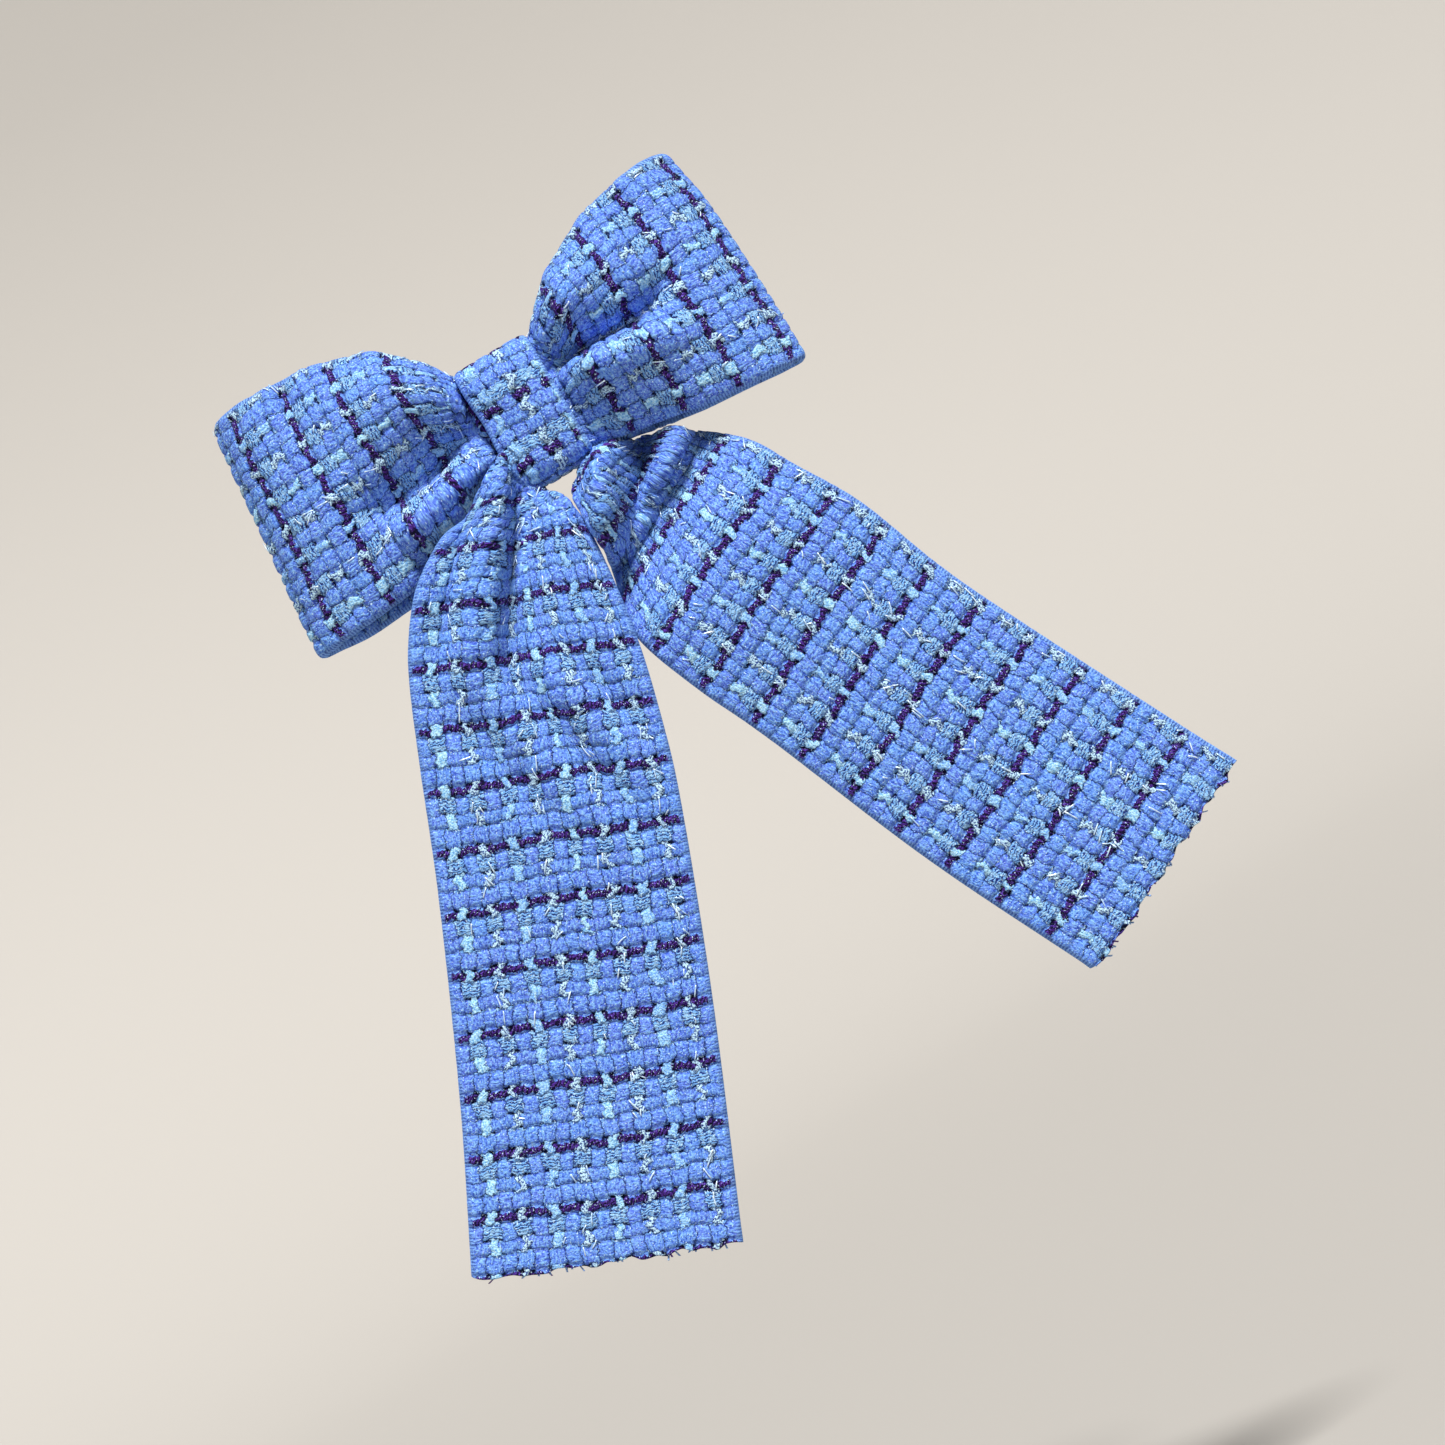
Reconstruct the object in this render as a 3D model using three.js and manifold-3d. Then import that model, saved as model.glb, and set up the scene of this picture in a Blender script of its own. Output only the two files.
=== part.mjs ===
// Hair bow with two long tails on a French barrette, in millimetres.
// +X runs along the wings, the bow's front faces -Y, +Z is up as it is worn.
// The origin is the middle of the gap that grips the hair, between clasp arm and tension bar.
import * as THREE from 'three';
import { mergeVertices } from 'three/addons/utils/BufferGeometryUtils.js';
import Module from 'manifold-3d';

const wasm = await Module();
wasm.setup();

// ---- driving dimensions ----
const CLOTH = 2.2;                 // thickness of the tweed with its lining
const LEFT_SPAN = 71;              // knot centre to the left wing's folded end
const RIGHT_SPAN = 66;             // knot centre to the right wing's folded end
const KNOT = { halfWidth: 10.5, halfHeight: 16, backY: -11.1, frontY: -25, crown: 0.8 };
const GATHER = { halfHeight: 14, backY: -13, frontY: -22.7, threadR: 0.45 };
const PLATE = { frontR: 160, rearR: 159.2, centreY: 152.4, halfWidth: 4.75, endX: 43.2 };
const TAB = { frontR: 162, rearR: 160.3, halfWidth: 5.5, endX: 26 };
const BAR = { frontR: 155.9, rearR: 155.4, halfWidth: 3, tipX: 33 };
const ARM = { frontR: 400, rearR: 399.1, centreY: 402.4, halfWidth: 3.5, tipX: 44.5 };
const HINGE = { x: -41.5, y: 3.7, pinR: 0.7, boreR: 0.95, knuckleR: 1.6, barKnuckle: 1.3, head: 0.6,
  play: 0.3 };
const EAR = { outerX: -43.2, innerX: -39.8, outerY: -1.3, innerY: -2.2, tipR: 1.7, gauge: 0.8 };
const CATCH = { x: 40.5, length: 2.6, prongZ: 2.8, sheet: 0.8, rootY: 0, tipY: 8.2, hook: 0.25,
  hookY: [5.75, 6.4, 6.8] };
const CATCH_PLATE = { fromX: 34.6, toX: 43, halfWidth: 3.9, gap: 0.3, gauge: 0.6 };
const WINDOW = { halfLength: 2, halfHeight: 3.6 };
const PADDLE_FROM_X = 36;          // the arm is as wide as the plate from here to its tip
const RIVET = { x: 36.6, shankR: 0.7, headR: 1.5, crownR: 1.2, boreR: 1, crown: 0.5, frontGap: 0.3,
  rearGap: 1.2 };
const SEW_HOLES = { x: [-30, -26, 26, 30], radius: 1.1 };
const SEWING = { x: 20, rearY: -6.25, frontGap: 0.9, halfHeight: 6.1, threadR: 0.4 };
const RING_STITCH = { y: -17.4, halfWidth: 1.4, halfHeight: 10, stitches: 10, threadR: 0.35 };
const KNOT_STITCH = { y: -9.75, halfWidth: 1.4, halfHeight: 9, stitches: 9, threadR: 0.1 };

// ---- materials ----
const tweed = new THREE.MeshStandardMaterial({ color: 0x7f9ae2, roughness: 0.95, metalness: 0 });
const thread = new THREE.MeshStandardMaterial({ color: 0x5c70b8, roughness: 0.8, metalness: 0 });
const felt = new THREE.MeshStandardMaterial({ color: 0x3c4a86, roughness: 1, metalness: 0 });
const steel = new THREE.MeshStandardMaterial({ color: 0xc4c6c9, roughness: 0.28, metalness: 1 });

const bow = new THREE.Group();

function place(name, geometry, material) {
  const mesh = new THREE.Mesh(geometry, material.clone());
  mesh.name = name;
  bow.add(mesh);
  return mesh;
}

// ---- solids ----
function toSolid(geometry) {
  const bare = geometry.clone();
  bare.deleteAttribute('normal');
  bare.deleteAttribute('uv');
  const merged = mergeVertices(bare, 1e-4);
  return new wasm.Manifold(new wasm.Mesh({
    numProp: 3,
    vertProperties: new Float32Array(merged.attributes.position.array),
    triVerts: new Uint32Array(merged.index.array),
  }));
}

function fromSolid(solid) {
  const mesh = solid.getMesh();
  const geometry = new THREE.BufferGeometry();
  geometry.setAttribute('position', new THREE.BufferAttribute(mesh.vertProperties, 3));
  geometry.setIndex(new THREE.BufferAttribute(mesh.triVerts, 1));
  return geometry;
}

// A cloth sheet given its full thickness. rows[i][j] is a point of its middle surface;
// a ring of rows closes on itself.
function sheetSolid(rows, thickness, ring) {
  const across = rows[0].length;
  const count = rows.length;
  const row = (i) => rows[ring ? (i + count) % count : Math.min(Math.max(i, 0), count - 1)];
  const positions = [];
  for (const side of [0.5, -0.5]) {
    for (let i = 0; i < count; i += 1) {
      for (let j = 0; j < across; j += 1) {
        const along = row(i + 1)[j].clone().sub(row(i - 1)[j]);
        const over = row(i)[Math.min(j + 1, across - 1)].clone().sub(row(i)[Math.max(j - 1, 0)]);
        const normal = along.cross(over).normalize();
        positions.push(...rows[i][j].clone().addScaledVector(normal, side * thickness).toArray());
      }
    }
  }
  const back = count * across;
  const at = (i, j) => (i % count) * across + j;
  const index = [];
  const quad = (a, b, c, d) => index.push(a, b, c, a, c, d);
  const steps = ring ? count : count - 1;
  for (let i = 0; i < steps; i += 1) {
    for (let j = 0; j < across - 1; j += 1) {
      quad(at(i, j), at(i + 1, j), at(i + 1, j + 1), at(i, j + 1));
      quad(back + at(i, j), back + at(i, j + 1), back + at(i + 1, j + 1), back + at(i + 1, j));
    }
    quad(at(i, 0), back + at(i, 0), back + at(i + 1, 0), at(i + 1, 0));
    const last = across - 1;
    quad(at(i, last), at(i + 1, last), back + at(i + 1, last), back + at(i, last));
  }
  if (!ring) {
    const end = count - 1;
    for (let j = 0; j < across - 1; j += 1) {
      quad(at(0, j), at(0, j + 1), back + at(0, j + 1), back + at(0, j));
      quad(at(end, j), back + at(end, j), back + at(end, j + 1), at(end, j + 1));
    }
  }
  const geometry = new THREE.BufferGeometry();
  geometry.setAttribute('position', new THREE.Float32BufferAttribute(positions, 3));
  geometry.setIndex(index);
  return geometry;
}

// A point on an upright oval with flattened sides, in the YZ plane.
function squareOval(turn, halfDepth, halfHeight) {
  const angle = turn * Math.PI * 2;
  const flat = (v) => Math.sign(v) * Math.abs(v) ** 0.45;
  return [halfDepth * flat(Math.cos(angle)), halfHeight * flat(Math.sin(angle))];
}

// A strip bent to an arc about a line along Z, drawn in XY and extruded to its width.
function arcStrip(centreY, frontR, rearR, fromX, toX, halfWidth, steps = 20) {
  const outline = [];
  for (let i = 0; i <= steps; i += 1) {
    const turn = Math.asin((fromX + ((toX - fromX) * i) / steps) / frontR);
    outline.push(new THREE.Vector2(frontR * Math.sin(turn), centreY - frontR * Math.cos(turn)));
  }
  for (let i = steps; i >= 0; i -= 1) {
    const turn = Math.asin((fromX + ((toX - fromX) * i) / steps) / frontR);
    outline.push(new THREE.Vector2(rearR * Math.sin(turn), centreY - rearR * Math.cos(turn)));
  }
  return slab(new THREE.Shape(outline), -halfWidth, halfWidth);
}

// An XY outline extruded from one height to another.
function slab(shape, fromZ, toZ) {
  const options = { depth: toZ - fromZ, bevelEnabled: false, curveSegments: 10 };
  return new THREE.ExtrudeGeometry(shape, options).translate(0, 0, fromZ);
}

function rodZ(x, y, radius, fromZ, toZ) {
  const rod = new THREE.CylinderGeometry(radius, radius, toZ - fromZ, 16);
  return rod.rotateX(Math.PI / 2).translate(x, y, (fromZ + toZ) / 2);
}

function box(x0, x1, y0, y1, z0, z1) {
  const block = new THREE.BoxGeometry(x1 - x0, y1 - y0, z1 - z0);
  return block.translate((x0 + x1) / 2, (y0 + y1) / 2, (z0 + z1) / 2);
}

// Turns a shape made at the plate's middle round the plate's arc, out to a given x.
function roundPlate(geometry, x) {
  const turn = Math.asin(x / PLATE.frontR);
  return geometry.translate(0, -PLATE.centreY, 0).rotateZ(turn).translate(0, PLATE.centreY, 0);
}

function threadAlong(points, radius, closed, steps) {
  const path = new THREE.CatmullRomCurve3(points, closed, 'centripetal');
  const section = new THREE.Shape();
  section.absarc(0, 0, radius, 0, Math.PI * 2, false);
  const options = { steps, curveSegments: 3, bevelEnabled: false, extrudePath: path };
  return new THREE.ExtrudeGeometry(section, options);
}

// ---- the ring of tweed that makes both wings ----
// Each station: share of the span, edge depth, top, bottom, and how far the middle bulges.
const FRONT_LAYER = [
  { out: 0, y: -19.4, top: 12, bottom: -12, bulge: 1 },
  { out: 0.16, y: -19.8, top: 12.8, bottom: -12.8, bulge: 1.4 },
  { out: 0.38, y: -22, top: 30, bottom: -19.5, bulge: 9 },
  { out: 0.6, y: -24, top: 37, bottom: -24, bulge: 12 },
  { out: 0.85, y: -22.5, top: 39, bottom: -25.5, bulge: 9 },
  { out: 0.98, y: -18, top: 38.5, bottom: -26, bulge: 3.5 },
];
const BACK_LAYER = [
  { out: 0.97, y: -13.6, top: 38, bottom: -27, bulge: 0 },
  { out: 0.6, y: -13.3, top: 35, bottom: -26, bulge: 0 },
  { out: 0.34, y: -13.4, top: 24, bottom: -19, bulge: 0 },
  { out: 0.16, y: -14.8, top: 12.4, bottom: -12.4, bulge: 0 },
  { out: 0, y: -15.5, top: 12, bottom: -12, bulge: 0 },
];

function wingRing() {
  const station = (s, span) => ({ ...s, x: s.out * span });
  const right = [...FRONT_LAYER, ...BACK_LAYER].map((s) => station(s, RIGHT_SPAN));
  const left = [...FRONT_LAYER, ...BACK_LAYER].map((s) => station(s, -LEFT_SPAN)).reverse();
  const around = [...right, ...left.slice(1, -1)];
  const curve = (key) => new THREE.CatmullRomCurve3(
    around.map((s) => new THREE.Vector3(s.x, s.y, s[key])), true, 'centripetal');
  const curves = { top: curve('top'), bottom: curve('bottom'), bulge: curve('bulge') };
  const rows = [];
  const count = 72;
  const across = 8;
  for (let i = 0; i < count; i += 1) {
    const t = i / count;
    const top = curves.top.getPoint(t);
    const bottom = curves.bottom.getPoint(t);
    const bulge = curves.bulge.getPoint(t).z;
    const line = [];
    for (let j = 0; j <= across; j += 1) {
      const v = (2 * j) / across - 1;
      const z = THREE.MathUtils.lerp(bottom.z, top.z, j / across);
      line.push(new THREE.Vector3(top.x, top.y - bulge * (1 - v * v), z));
    }
    rows.push(line);
  }
  return sheetSolid(rows, CLOTH, true);
}
place('bow_loop', wingRing(), tweed);

// ---- the band that makes the knot ----
function knotBand() {
  const middleY = (KNOT.backY + KNOT.frontY) / 2;
  const halfDepth = (KNOT.backY - KNOT.frontY) / 2;
  const rows = [];
  for (let i = 0; i < 36; i += 1) {
    const [y, z] = squareOval(-i / 36, halfDepth, KNOT.halfHeight);
    const line = [];
    for (let j = 0; j <= 4; j += 1) {
      const v = j / 2 - 1;
      const swell = 1 + (KNOT.crown * (1 - v * v)) / halfDepth;
      const forward = y < 0 ? swell : 1;
      line.push(new THREE.Vector3(v * KNOT.halfWidth, middleY + y * forward, z));
    }
    rows.push(line);
  }
  return sheetSolid(rows, CLOTH, true);
}
place('knot_wrap', knotBand(), tweed);

// ---- the tails: two edge curves with the cloth stretched between them ----
function tail(leftEdge, rightEdge, bulges, count) {
  const curve = (points) => new THREE.CatmullRomCurve3(
    points.map((p) => new THREE.Vector3(...p)), false, 'centripetal');
  const left = curve(leftEdge);
  const right = curve(rightEdge);
  const across = 6;
  const rows = [];
  for (let i = 0; i <= count; i += 1) {
    const t = i / count;
    const bulge = THREE.MathUtils.lerp(bulges[0], bulges[1], t);
    const line = [];
    for (let j = 0; j <= across; j += 1) {
      const v = (2 * j) / across - 1;
      const point = left.getPointAt(t).lerp(right.getPointAt(t), j / across);
      point.y -= bulge * (1 - v * v);
      line.push(point);
    }
    rows.push(line);
  }
  return sheetSolid(rows, CLOTH, false);
}

place('left_tail', tail(
  [[-15, -25.8, -4], [-29, -29.5, -14], [-39, -31, -20], [-50, -30.5, -31], [-59, -29, -47],
    [-79, -27, -93], [-100, -25, -138], [-121, -24, -178]],
  [[-11, -24.5, -18.8], [-3, -26, -27], [-2.5, -27, -42], [-6, -27, -63],
    [-16, -26, -103], [-34, -25, -148], [-58, -24, -203]],
  [3, 1], 26), tweed);

place('right_tail', tail(
  [[3, -20, -19], [4, -22, -30], [2, -23, -44], [-0.5, -23.5, -62],
    [11, -22, -101], [29, -21, -146], [50, -20, -191]],
  [[11.5, -18.5, -18.8], [33, -19, -25], [45, -20, -35], [60, -21, -62],
    [76, -21, -102], [97, -20, -145], [107, -19, -164.5]],
  [3, 1], 26), tweed);

// ---- threads ----
function ovalLoop(x, backY, frontY, halfHeight, count) {
  const points = [];
  for (let i = 0; i < count; i += 1) {
    const [y, z] = squareOval(i / count, (backY - frontY) / 2, halfHeight);
    points.push(new THREE.Vector3(x, (backY + frontY) / 2 + y, z));
  }
  return points;
}

// The gathering thread winds three times round the middle of the ring.
function gatheringThread() {
  const turns = 3;
  const pitch = 1.3;
  const points = [];
  const perTurn = 16;
  for (let i = 0; i <= turns * perTurn; i += 1) {
    const [y, z] = squareOval(i / perTurn, (GATHER.backY - GATHER.frontY) / 2, GATHER.halfHeight);
    const x = (i / perTurn - turns / 2) * pitch;
    points.push(new THREE.Vector3(x, (GATHER.backY + GATHER.frontY) / 2 + y, z));
  }
  return threadAlong(points, GATHER.threadR, false, 96);
}
place('gathering_thread', gatheringThread(), thread);

// A zigzag of thread over a seam, in an XZ plane.
function zigzag({ y, halfWidth, halfHeight, stitches, threadR }) {
  const points = [];
  for (let i = 0; i <= stitches; i += 1) {
    const z = halfHeight * ((2 * i) / stitches - 1);
    points.push(new THREE.Vector3(i % 2 ? halfWidth : -halfWidth, y, z));
  }
  return threadAlong(points, threadR, false, stitches * 5);
}
place('ring_seam_stitch', zigzag(RING_STITCH), thread);
place('knot_closing_stitch', zigzag(KNOT_STITCH), thread);

for (const side of [-1, 1]) {
  const name = side < 0 ? 'sewing_thread_left' : 'sewing_thread_right';
  const frontY = PLATE.centreY - TAB.frontR - SEWING.frontGap;
  const path = ovalLoop(0, SEWING.rearY, frontY, SEWING.halfHeight, 20);
  const loop = threadAlong(path, SEWING.threadR, true, 40);
  place(name, roundPlate(loop, side * SEWING.x), thread);
}

// ---- the felt tab between bow and barrette ----
place('backing_tab', arcStrip(PLATE.centreY, TAB.frontR, TAB.rearR, -TAB.endX, TAB.endX,
  TAB.halfWidth), felt);

// ---- the barrette ----
// What is cut away for the hinge pin, right through every piece on it.
function hingeBore() {
  return toSolid(rodZ(HINGE.x, HINGE.y, HINGE.boreR, -6, 6));
}

function barretteBase() {
  const strip = arcStrip(PLATE.centreY, PLATE.frontR, PLATE.rearR, -PLATE.endX, PLATE.endX,
    PLATE.halfWidth, 28);
  const ear = new THREE.Shape();
  ear.moveTo(EAR.outerX, EAR.outerY);
  ear.lineTo(EAR.innerX, EAR.innerY);
  ear.lineTo(EAR.innerX, HINGE.y);
  ear.absarc(HINGE.x, HINGE.y, EAR.tipR, 0, Math.PI, false);
  ear.closePath();
  let solid = toSolid(strip);
  solid = solid.add(toSolid(slab(ear, PLATE.halfWidth - EAR.gauge, PLATE.halfWidth)));
  solid = solid.add(toSolid(slab(ear, -PLATE.halfWidth, EAR.gauge - PLATE.halfWidth)));
  solid = solid.subtract(hingeBore());
  const hole = (x, radius) => {
    const drill = new THREE.CylinderGeometry(radius, radius, 4, 16);
    const middleY = PLATE.centreY - (PLATE.frontR + PLATE.rearR) / 2;
    return toSolid(roundPlate(drill.translate(0, middleY, 0), x));
  };
  for (const x of SEW_HOLES.x) solid = solid.subtract(hole(x, SEW_HOLES.radius));
  return fromSolid(solid.subtract(hole(RIVET.x, RIVET.boreR)));
}
place('barrette_base', barretteBase(), steel);

function hingePin() {
  const length = PLATE.halfWidth + HINGE.play;
  const end = length + HINGE.head;
  const headR = HINGE.pinR + HINGE.head;
  const profile = [[0, -end], [headR, -end], [headR, -length], [HINGE.pinR, -length],
    [HINGE.pinR, length], [headR, length], [headR, end], [0, end]];
  const pin = new THREE.LatheGeometry(profile.map((p) => new THREE.Vector2(...p)), 16);
  return pin.rotateX(Math.PI / 2).translate(HINGE.x, HINGE.y, 0);
}
place('hinge_pin', hingePin(), steel);

function tensionBar() {
  const strip = arcStrip(PLATE.centreY, BAR.frontR, BAR.rearR, HINGE.x, BAR.tipX, BAR.halfWidth);
  const half = HINGE.barKnuckle;
  const knuckle = rodZ(HINGE.x, HINGE.y, HINGE.knuckleR, -half, half);
  // beside its knuckle the bar is cut back, clear of the arm's knuckles
  const relief = (z0, z1) => toSolid(box(HINGE.x - 3.5, HINGE.x + 2.7, -2, 8, z0, z1));
  const solid = toSolid(strip).subtract(relief(half, 5)).subtract(relief(-5, -half));
  return fromSolid(solid.add(toSolid(knuckle)).subtract(hingeBore()));
}
place('tension_bar', tensionBar(), steel);

function claspArm() {
  const strip = arcStrip(ARM.centreY, ARM.frontR, ARM.rearR, HINGE.x, ARM.tipX, ARM.halfWidth, 24);
  const paddle = arcStrip(ARM.centreY, ARM.frontR, ARM.rearR, PADDLE_FROM_X, ARM.tipX,
    PLATE.halfWidth, 6);
  const knuckles = rodZ(HINGE.x, HINGE.y, HINGE.knuckleR, -ARM.halfWidth, ARM.halfWidth);
  const window = box(CATCH.x - WINDOW.halfLength, CATCH.x + WINDOW.halfLength, 0, 12,
    -WINDOW.halfHeight, WINDOW.halfHeight);
  // room between the arm's two knuckles for the bar's one
  const room = HINGE.barKnuckle + HINGE.play;
  const slot = box(HINGE.x - 3.5, HINGE.x + 2.3, -2, 8, -room, room);
  const solid = toSolid(strip).add(toSolid(paddle)).add(toSolid(knuckles));
  return fromSolid(solid.subtract(hingeBore()).subtract(toSolid(slot)).subtract(toSolid(window)));
}
place('clasp_arm', claspArm(), steel);

// ---- the catch ----
function catchPlate() {
  const frontR = PLATE.rearR - CATCH_PLATE.gap;
  const rearR = frontR - CATCH_PLATE.gauge;
  const plate = arcStrip(PLATE.centreY, frontR, rearR, CATCH_PLATE.fromX, CATCH_PLATE.toX,
    CATCH_PLATE.halfWidth, 6);
  const drill = new THREE.CylinderGeometry(RIVET.boreR, RIVET.boreR, 4, 16);
  const hole = roundPlate(drill.translate(0, PLATE.centreY - (frontR + rearR) / 2, 0), RIVET.x);
  return fromSolid(toSolid(plate).subtract(toSolid(hole)));
}
place('catch_plate', catchPlate(), steel);

function catchRivet() {
  const { shankR, headR, crownR, crown } = RIVET;
  const rear = PLATE.centreY - PLATE.rearR + RIVET.rearGap;
  const front = PLATE.centreY - PLATE.frontR - RIVET.frontGap;
  const profile = [[0, front - crown], [crownR, front - 0.8 * crown], [headR, front], [shankR, front],
    [shankR, rear], [headR, rear], [crownR, rear + crown], [0, rear + 1.2 * crown]];
  const rivet = new THREE.LatheGeometry(profile.map((p) => new THREE.Vector2(...p)), 16);
  return roundPlate(rivet, RIVET.x);
}
place('catch_rivet', catchRivet(), steel);

// One prong: a straight leg with a small hook that stands behind the arm's window.
function prong(side) {
  const inner = CATCH.prongZ - CATCH.sheet / 2;
  const outer = CATCH.prongZ + CATCH.sheet / 2;
  const hook = outer + CATCH.hook;
  const [startY, topY, endY] = CATCH.hookY;
  const outline = [[CATCH.rootY, inner], [CATCH.tipY, inner], [CATCH.tipY, outer],
    [endY, outer], [topY, hook], [startY, hook], [startY, outer], [CATCH.rootY, outer]];
  const shape = new THREE.Shape(outline.map(([y, z]) => new THREE.Vector2(y, z)));
  const leg = slab(shape, -CATCH.length / 2, CATCH.length / 2);
  // the outline's own axes are Y and Z, so the extrusion runs along X
  leg.applyMatrix4(new THREE.Matrix4().set(0, 0, 1, CATCH.x, 1, 0, 0, 0, 0, 1, 0, 0, 0, 0, 0, 1));
  if (side < 0) leg.translate(-CATCH.x, 0, 0).rotateY(Math.PI).translate(CATCH.x, 0, 0);
  return leg;
}
place('upper_prong', prong(1), steel);
place('lower_prong', prong(-1), steel);

export default bow;
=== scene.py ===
"""Looks of the tweed hair bow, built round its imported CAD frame.

Lengths are in millimetres until the meshes are made.
"""

import math

import bpy
import numpy as np
from mathutils import Matrix, Vector


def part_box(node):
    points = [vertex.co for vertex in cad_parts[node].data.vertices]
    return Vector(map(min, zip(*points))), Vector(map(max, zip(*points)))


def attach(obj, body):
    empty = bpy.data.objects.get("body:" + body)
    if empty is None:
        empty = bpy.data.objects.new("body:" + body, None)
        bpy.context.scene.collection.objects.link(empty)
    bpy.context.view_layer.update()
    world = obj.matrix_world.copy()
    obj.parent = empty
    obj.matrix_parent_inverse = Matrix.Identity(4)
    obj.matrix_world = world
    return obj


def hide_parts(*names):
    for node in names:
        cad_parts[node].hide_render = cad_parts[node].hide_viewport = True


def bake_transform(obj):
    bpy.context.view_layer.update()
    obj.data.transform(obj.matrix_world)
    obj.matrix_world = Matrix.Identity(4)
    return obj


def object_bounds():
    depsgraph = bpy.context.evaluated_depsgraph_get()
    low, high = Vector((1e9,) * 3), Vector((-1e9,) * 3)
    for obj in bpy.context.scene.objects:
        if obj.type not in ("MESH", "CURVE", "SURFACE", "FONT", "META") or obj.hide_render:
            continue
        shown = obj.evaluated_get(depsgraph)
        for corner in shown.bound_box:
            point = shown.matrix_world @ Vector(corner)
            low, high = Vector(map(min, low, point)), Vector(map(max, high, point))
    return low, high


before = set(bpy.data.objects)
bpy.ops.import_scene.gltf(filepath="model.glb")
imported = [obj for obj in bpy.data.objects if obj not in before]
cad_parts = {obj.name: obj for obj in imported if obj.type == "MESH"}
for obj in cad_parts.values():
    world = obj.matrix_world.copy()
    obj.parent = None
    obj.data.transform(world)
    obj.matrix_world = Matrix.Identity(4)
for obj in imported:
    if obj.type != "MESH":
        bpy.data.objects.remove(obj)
cad_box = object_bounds()
MM = 0.001


def box_mm(node):
    """A CAD node's lowest and highest corner in millimetres."""
    low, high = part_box(node)
    return np.array(low) / MM, np.array(high) / MM


# ---- sizes taken from the frame ----
CAD_HALF = 1.1  # half the thickness of the CAD's cloth solids
LOOP_LOW, LOOP_HIGH = box_mm("bow_loop")
KNOT_LOW, KNOT_HIGH = box_mm("knot_wrap")
LEFT_SPAN = -LOOP_LOW[0] - CAD_HALF
RIGHT_SPAN = LOOP_HIGH[0] - CAD_HALF

# ---- the cloth: flat sizes as width and length, then its thickness and its mesh ----
LOOP_FLAT = (64, 290)
KNOT_FLAT = (21, 90)
LEFT_TAIL_FLAT = (68, 203)
RIGHT_TAIL_FLAT = (65, 200)
GROUND = 0.95  # half the thickness of the cloth, without its yarns' relief
RELIEF = 0.95  # how far the yarns stand up
HEM = 2.2  # width of the pressed hem along the edges
HEM_RELIEF = 0.35  # the share of the relief that is left at an edge
EDGE_ROUND = 1.1  # how far in from an edge the cloth is rounded
CELL = 0.5  # spacing of the mesh on the cloth
FINE = 4  # cells to each step of the coarser sheet that is relaxed
COARSE = CELL * FINE
COLUMNS = int(round(LOOP_FLAT[0] / COARSE)) + 1  # points across a relaxed sheet
TAIL_ROWS = int(round(RIGHT_TAIL_FLAT[1] / COARSE)) + 1  # points along a relaxed tail
ROUNDS = 1200


# ---- one weave, written once for numbers and for shader wires ----
class Wire:
    """A shader value that adds, multiplies and so on by making Math nodes."""

    def __init__(self, tree, socket):
        self.tree = tree
        self.socket = socket

    def op(self, operation, *others):
        inputs = dict(enumerate((self, *others)))
        return add_node(self.tree, "ShaderNodeMath", inputs, operation=operation)

    def __add__(self, other):
        return self.op("ADD", other)

    def __sub__(self, other):
        return self.op("SUBTRACT", other)

    def __mul__(self, other):
        return self.op("MULTIPLY", other)

    def __truediv__(self, other):
        return self.op("DIVIDE", other)

    def __neg__(self):
        return self.op("MULTIPLY", -1.0)

    def __gt__(self, other):
        return self.op("GREATER_THAN", other)

    def __rsub__(self, other):
        return -self + other

    __radd__ = __add__
    __rmul__ = __mul__


def connect(value, socket):
    """Puts a wire or a constant into a socket."""
    if isinstance(value, Wire):
        value.tree.links.new(value.socket, socket)
    else:
        socket.default_value = value


def add_node(tree, kind, inputs, output=0, **settings):
    """Adds a node and gives one of its outputs.
    inputs: a wire or a constant for each socket, by the socket's name or place."""
    node = tree.nodes.new(kind)
    for key, value in settings.items():
        setattr(node, key, value)
    for key, value in inputs.items():
        connect(value, node.inputs[key])
    return Wire(tree, node.outputs[output])


def either(name, operation):
    """The same function for arrays and for wires."""
    def call(x, *others):
        if isinstance(x, Wire):
            return x.op(operation, *others)
        return getattr(np, name)(x, *others)
    return call


sin = either("sin", "SINE")
cos = either("cos", "COSINE")
sqrt = either("sqrt", "SQRT")
floor = either("floor", "FLOOR")
highest = either("maximum", "MAXIMUM")
lowest = either("minimum", "MINIMUM")


def above(x, level):
    """1 where x is over the level, else 0."""
    return x > level if isinstance(x, Wire) else (x > level) * 1.0


def limit(x, low=-1.0, high=1.0):
    """The value x, or the nearer limit where it is outside them."""
    return lowest(highest(x, low), high)


def chance(column, row, salt):
    """A repeatable number from 0 to 1 for each crossing of yarns."""
    value = sin(column * 1.37 + row * 2.91 + salt) * 437.58
    return value - floor(value)


def plump(x):
    """Height of a yarn across its width: 1 in the middle, 0 at x = 1, and far below outside."""
    square = x * x
    inside = sqrt(highest(1 - square * square, 0.0))
    return inside - 2 * above(square, 1.0)


WARP_PITCH = 8.0  # one chenille yarn and one accent yarn
WARP_AT, WARP_HALF = 2.2, 2.1  # middle and half width of the chenille yarn
ACCENT_AT = 6.25  # middle of the accent yarn
ACCENT_KINDS = 4  # mint, silver, pale, silver
WEFT_PITCH = 15.0  # one repeat of WEFTS
CROSSING = 1.4  # the weft is over the chenille warp here, and again half a repeat further
CRISP = 2.2  # how abruptly yarns change from over to under
STRAND_PITCH = 0.8  # spacing of the filaments in their bundle

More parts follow.
